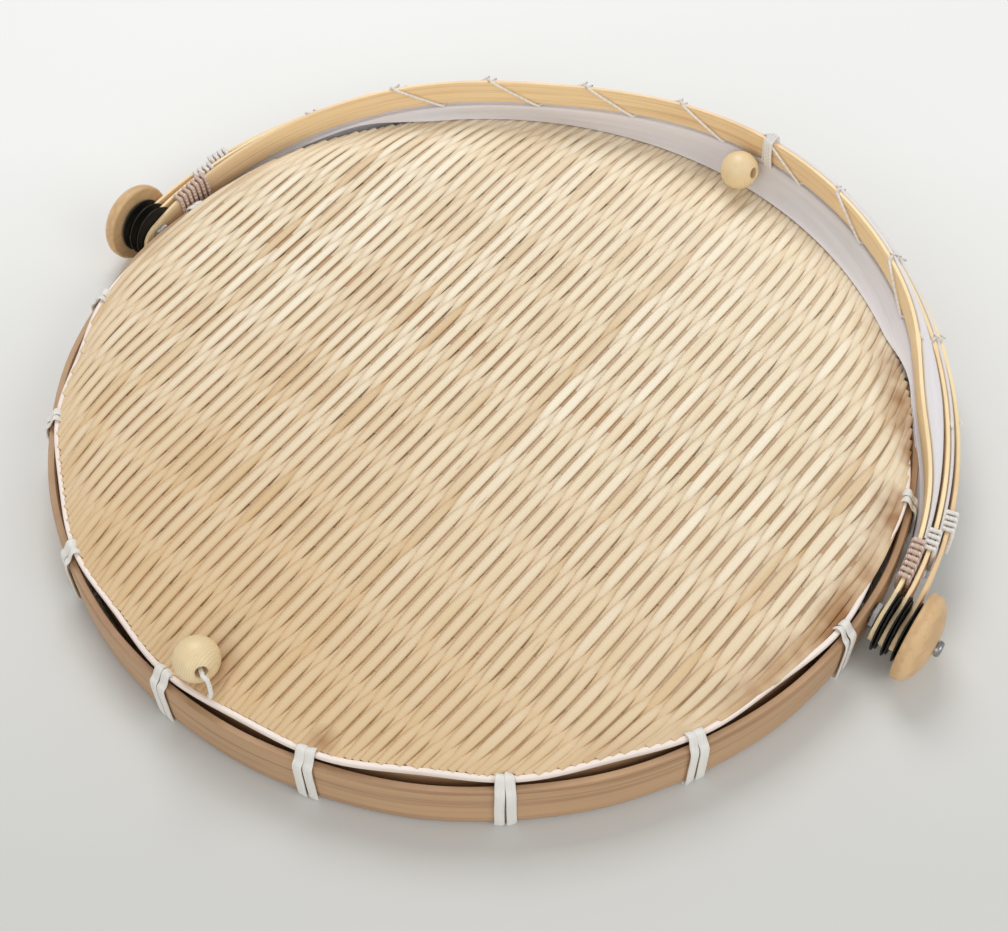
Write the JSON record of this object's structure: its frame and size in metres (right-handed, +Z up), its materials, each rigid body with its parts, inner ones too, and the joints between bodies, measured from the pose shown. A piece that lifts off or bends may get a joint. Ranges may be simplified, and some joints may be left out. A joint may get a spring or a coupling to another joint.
{
  "type": "covered bamboo serving tray",
  "caption": "Round bamboo serving tray with a woven mat lashed into bent hoops and a folding gauze hood on pivoting bamboo ribs, folded back.",
  "frame": {"origin": "middle of the whole object's outline, on the table under the rim lashings", "axes": "+X along the hood's pivot axis to the right, +Y towards the folded hood at the back, +Z up"},
  "size_m": [0.3478, 0.3122, 0.0507],
  "materials": {
    "bamboo_mat": "split bamboo weave, satin",
    "bamboo_hoop": "bent bamboo, satin with grain",
    "pale_strip": "peeled pale strip, matte",
    "white_lashing": "flat woven strip, matte",
    "bamboo_rib": "bent bamboo, satin with grain",
    "white_thread": "twisted thread, matte",
    "brown_twine": "twisted twine, matte",
    "bead_wood": "turned wood, satin",
    "button_wood": "turned wood, satin",
    "steel": "dull zinc",
    "black_washer": "black oxide, satin",
    "gauze": "sheer white gauze"
  },
  "bodies": {
    "tray": {"woven_mat": "bamboo_mat", "outer_hoop": "bamboo_hoop", "edge_strip": "pale_strip", "inner_hoop": "bamboo_hoop", "rim_tie_01": "white_lashing", "rim_tie_02": "white_lashing", "rim_tie_03": "white_lashing", "rim_tie_04": "white_lashing", "rim_tie_05": "white_lashing", "rim_tie_06": "white_lashing", "rim_tie_07": "white_lashing", "rim_tie_08": "white_lashing", "rim_tie_09": "white_lashing", "rim_tie_10": "white_lashing", "rim_tie_11": "white_lashing", "rim_tie_12": "white_lashing", "rim_tie_13": "white_lashing", "rim_tie_14": "white_lashing", "rim_tie_15": "white_lashing", "rim_tie_16": "white_lashing", "tray_bead": "bead_wood", "tray_bead_cord": "white_thread", "right_pivot_screw": "steel", "right_inner_nut": "steel", "right_spacer_nut": "steel", "right_washer_1": "black_washer", "right_washer_2": "black_washer", "right_washer_3": "black_washer", "right_wooden_button": "button_wood", "left_pivot_screw": "steel", "left_inner_nut": "steel", "left_spacer_nut": "steel", "left_washer_1": "black_washer", "left_washer_2": "black_washer", "left_washer_3": "black_washer", "left_wooden_button": "button_wood", "back_rib": "bamboo_rib", "back_rib_lacing": "white_thread", "back_rib_right_whipping": "white_thread", "back_rib_left_whipping": "white_thread"},
    "middle_rib": {"middle_rib": "bamboo_rib", "middle_rib_lacing": "white_thread", "middle_rib_right_whipping": "white_thread", "middle_rib_left_whipping": "white_thread", "rear_gauze_panel": "gauze"},
    "leading_rib": {"leading_rib": "bamboo_rib", "leading_rib_lacing": "white_thread", "leading_rib_right_whipping": "brown_twine", "leading_rib_left_whipping": "brown_twine", "lid_bead": "bead_wood", "lid_bead_cord": "white_thread", "front_gauze_panel": "gauze"}
  },
  "joints": [
    {"name": "middle_rib_swing", "type": "hinge", "parent": "tray", "child": "middle_rib", "pos_m": [0, -0.00536, 0.0155], "axis": [1, 0, 0], "range_deg": [0, 79], "deforming": ["rear_gauze_panel"]},
    {"name": "leading_rib_swing", "type": "hinge", "parent": "middle_rib", "child": "leading_rib", "pos_m": [0, -0.00536, 0.0155], "axis": [1, 0, 0], "range_deg": [0, 79], "deforming": ["front_gauze_panel"]}
  ]
}
